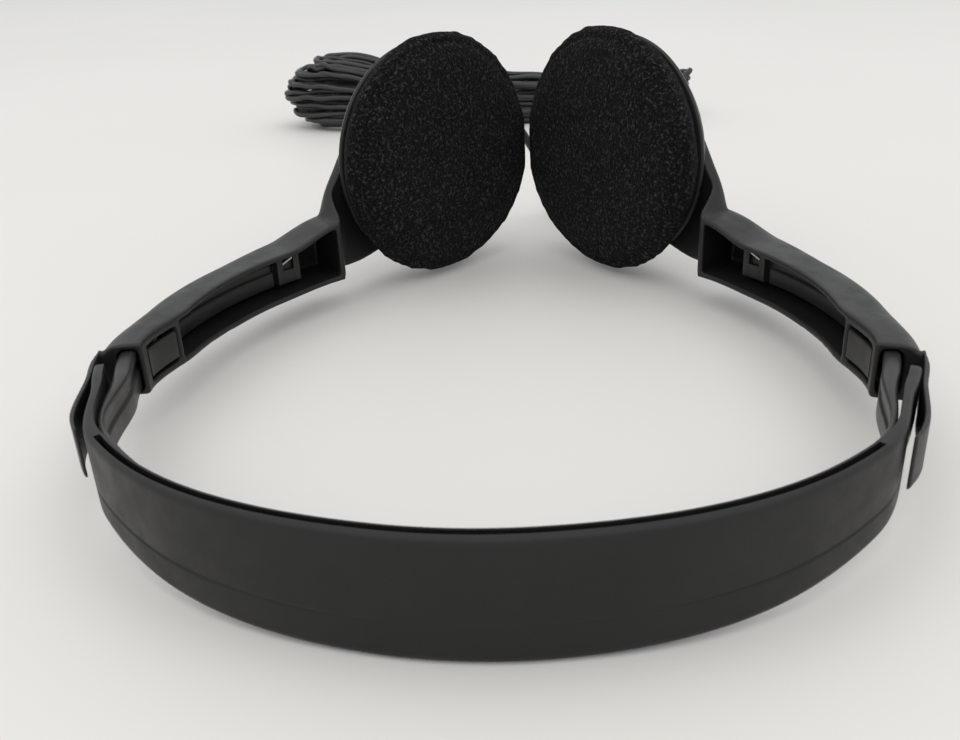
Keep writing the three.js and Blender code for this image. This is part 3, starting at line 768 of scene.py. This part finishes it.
def hank_turn(index, count, seed):
    """One turn of the folded lead: a long loop, swelling to a round coil at the left, nipped by the tie."""
    rng = np.random.default_rng(seed)
    level = index / (count - 1)
    spread = (index * 0.618) % 1.0
    right = 6.0 * rng.uniform() + 5.0 * (1 - level)
    left = 15.0 * (2 * level - 0.95) ** 2 + 4.0 * rng.uniform()
    points = []
    n = 48
    for k in range(n):
        a = 2 * math.pi * k / n
        cosine, sine = math.cos(a), math.sin(a)
        x = HANK["left"] + 1 + (HANK["right"] - HANK["left"] - 2) * (0.5 + 0.5 * cosine)
        x -= cosine * (right if cosine > 0 else left)
        full = 1 - ramp(x, -98, -48)
        half = 4.0 + 8.5 * spread + (13.5 - 5.0 * level) * full + 1.1 * math.sin(3 * a + seed)
        nip = math.exp(-((x - 12) / 16.0) ** 2)
        half *= 1 - 0.3 * nip
        y = HANK["y"] + half * math.copysign(abs(sine) ** 0.6, sine)
        z = 1.4 + level * (16.5 + 11.5 * full) * (1 - 0.15 * nip)
        z += (1.8 * math.sin(2 * a + 1.7 * seed) + 0.5 * rng.normal()) * (0.3 + 0.7 * level)
        points.append(Vector((x, y, max(1.3, z))))
    return points


def hank():
    turns = []
    count = 26
    for i in range(count):
        keys = hank_turn(i, count, 11 + i)
        keys = keys + keys[:3]
        smooth = curve_points(keys, (len(keys) - 1) * 5 + 1)
        turns.append(cord_mesh("turn", smooth[5:-10], 1.15, 10, closed=True))
    place(joined("folded_lead", turns), "cable", "headband", "cable_hank")
    shade(bpy.data.objects["folded_lead"], 60)


def tie():
    """A flat band round the waist of the folded lead."""
    rows = []
    half, low, high = 11.8, 0.4, 18.6
    for t in stations(0, 1, 0.125):
        x = 10 + 4 * t
        rows.append([(x, HANK["y"] + u, v) for u, v in fillet([
            (-half, low, 2.5), (half, low, 2.5), (half, high, 4.5), (-half, high, 4.5)], 8)])
    outer = loft("lead_tie", rows)
    rows = []
    for t in (0, 1):
        x = 9 + 6 * t
        rows.append([(x, HANK["y"] + u, v) for u, v in fillet([
            (-half + 0.8, low + 0.4, 2.2), (half - 0.8, low + 0.4, 2.2), (half - 0.8, high - 0.8, 4.0),
            (-half + 0.8, high - 0.8, 4.0)], 8)])
    place(boolean(outer, loft("hole", rows)), "rubber", "headband", "hank_tie")
    shade(outer, 40)


PLUG = Vector((-86.0, 354.0, 3.4))


def plug():
    axis = Vector((1, 0, 0))
    grip = [(0, -7), (2.5, -7), (2.9, -6.8), (3.2, -6.2)]
    for k in range(8):
        t = -5 + k * 1.1
        grip += [(3.2, t), (3.2, t + 0.55), (3.0, t + 0.65), (3.0, t + 0.95)]
    grip += [(3.2, 4.2), (3.1, 5.4), (2.6, 6.8), (2.4, 7), (0, 7)]
    place(lathe("plug_handle", grip, PLUG, axis, 40, 30), "rubber", "headband", "plug_grip")
    relief = [(0, 7.3), (2.3, 7.3)]
    for k in range(4):
        t = 7.6 + k * 1.4
        rib, groove = 2.35 - 0.12 * k, 1.9 - 0.1 * k
        relief += [(rib, t), (rib, t + 0.8), (groove, t + 0.9), (groove, t + 1.2)]
    relief += [(1.6, 13.6), (1.4, 13.8), (0, 13.8)]
    place(lathe("plug_boot", relief, PLUG, axis, 32, 30), "rubber", "headband", "plug_relief")
    shaft = [(0, -18), (1.5, -18), (1.7, -17.8), (1.75, -15.6), (1.6, -15.5), (1.6, -15.1), (1.75, -15),
             (1.75, -8.1), (2.3, -8), (2.3, -7.3), (0, -7.3)]
    place(lathe("plug_sleeve", shaft, PLUG, axis, 40, 30), "gold", "headband", "plug_shaft")
    tip = [(0, -21.6), (0.5, -21.5), (1.1, -20.9), (1.65, -20.1), (1.72, -19.7), (1.3, -19.1), (1.3, -18.7),
           (1.5, -18.4), (1.4, -18.3), (0, -18.3)]
    place(lathe("plug_point", tip, PLUG, axis, 40, 40), "gold", "headband", "plug_tip")
    wall = HANK["y"] + 17 - 9 - 0.3 - 1.15 - 0.2
    path = curve_points([(PLUG.x + 13.6, PLUG.y, PLUG.z), (PLUG.x + 18, PLUG.y, PLUG.z - 0.8),
                         (PLUG.x + 24, PLUG.y + 3, 1.8), (PLUG.x + 32, wall, 1.5), (PLUG.x + 40, wall, 1.5),
                         (PLUG.x + 46, wall + 2, 2.5)], 50)
    place(cord_mesh("plug_cord", path, 1.15), "cable", "headband", "plug_lead")


# ---------------------------------------------------------------- build
headband()
for label, side in SIDES:
    rail(label, side)
    rail_stop(label, side)
    paint_cad(f"{label}_rail_rivet", "steel")
    arm(label, side)
    latch(label, side)
    foam_pad(label, side)
    cup_parts(label, side)
    cup_cord(label, side)
splitter()
main_lead()
hank()
tie()
plug()


# ---------------------------------------------------------------- studio
def floor():
    bm = bmesh.new()
    bmesh.ops.create_grid(bm, x_segments=1, y_segments=1, size=5.0)
    table = new_object("table_top", bm)
    table.location.z = -0.0002
    table.data.materials.append(table_material())


def area_light(name, location, target, size, power, colour):
    data = bpy.data.lights.new(name, "AREA")
    data.shape = "RECTANGLE"
    data.size, data.size_y = size
    data.energy = power
    data.color = colour
    obj = bpy.data.objects.new(name, data)
    bpy.context.collection.objects.link(obj)
    obj.location = location
    obj.rotation_euler = (Vector(target) - Vector(location)).to_track_quat("-Z", "Y").to_euler()


def lights():
    area_light("ceiling_panel", (0.0, -0.3, 1.3), (0.0, 0.12, 0.0), (2.6, 2.2), 12.0, (1.0, 0.985, 0.96))
    world = bpy.data.worlds.new("studio")
    world.use_nodes = True
    world.node_tree.nodes["Background"].inputs[0].default_value = (0.97, 0.985, 1.0, 1)
    world.node_tree.nodes["Background"].inputs[1].default_value = 0.88
    bpy.context.scene.world = world


def camera():
    pitch, yaw, roll = (math.radians(a) for a in (25.136, -6.81, -2.79))
    ahead = Vector((math.sin(yaw), math.cos(yaw), 0))
    forward = ahead * math.cos(pitch) - Vector((0, 0, math.sin(pitch)))
    right = Vector((math.cos(yaw), -math.sin(yaw), 0))
    up = ahead * math.sin(pitch) + Vector((0, 0, math.cos(pitch)))
    right, up = right * math.cos(roll) + up * math.sin(roll), up * math.cos(roll) - right * math.sin(roll)
    data = bpy.data.cameras.new("camera")
    data.lens = 36.31
    data.sensor_width = 36.0
    data.clip_start = 0.005
    data.dof.use_dof = True
    data.dof.focus_distance = 0.25
    data.dof.aperture_fstop = 80.0
    cam = bpy.data.objects.new("camera", data)
    bpy.context.collection.objects.link(cam)
    basis = Matrix((right, up, -forward)).transposed().to_4x4()
    cam.matrix_world = Matrix.Translation(Vector((15.67, -94.8, 85.19)) * MM) @ basis
    bpy.context.scene.camera = cam


floor()
lights()
camera()
bpy.context.scene.view_settings.view_transform = "Standard"
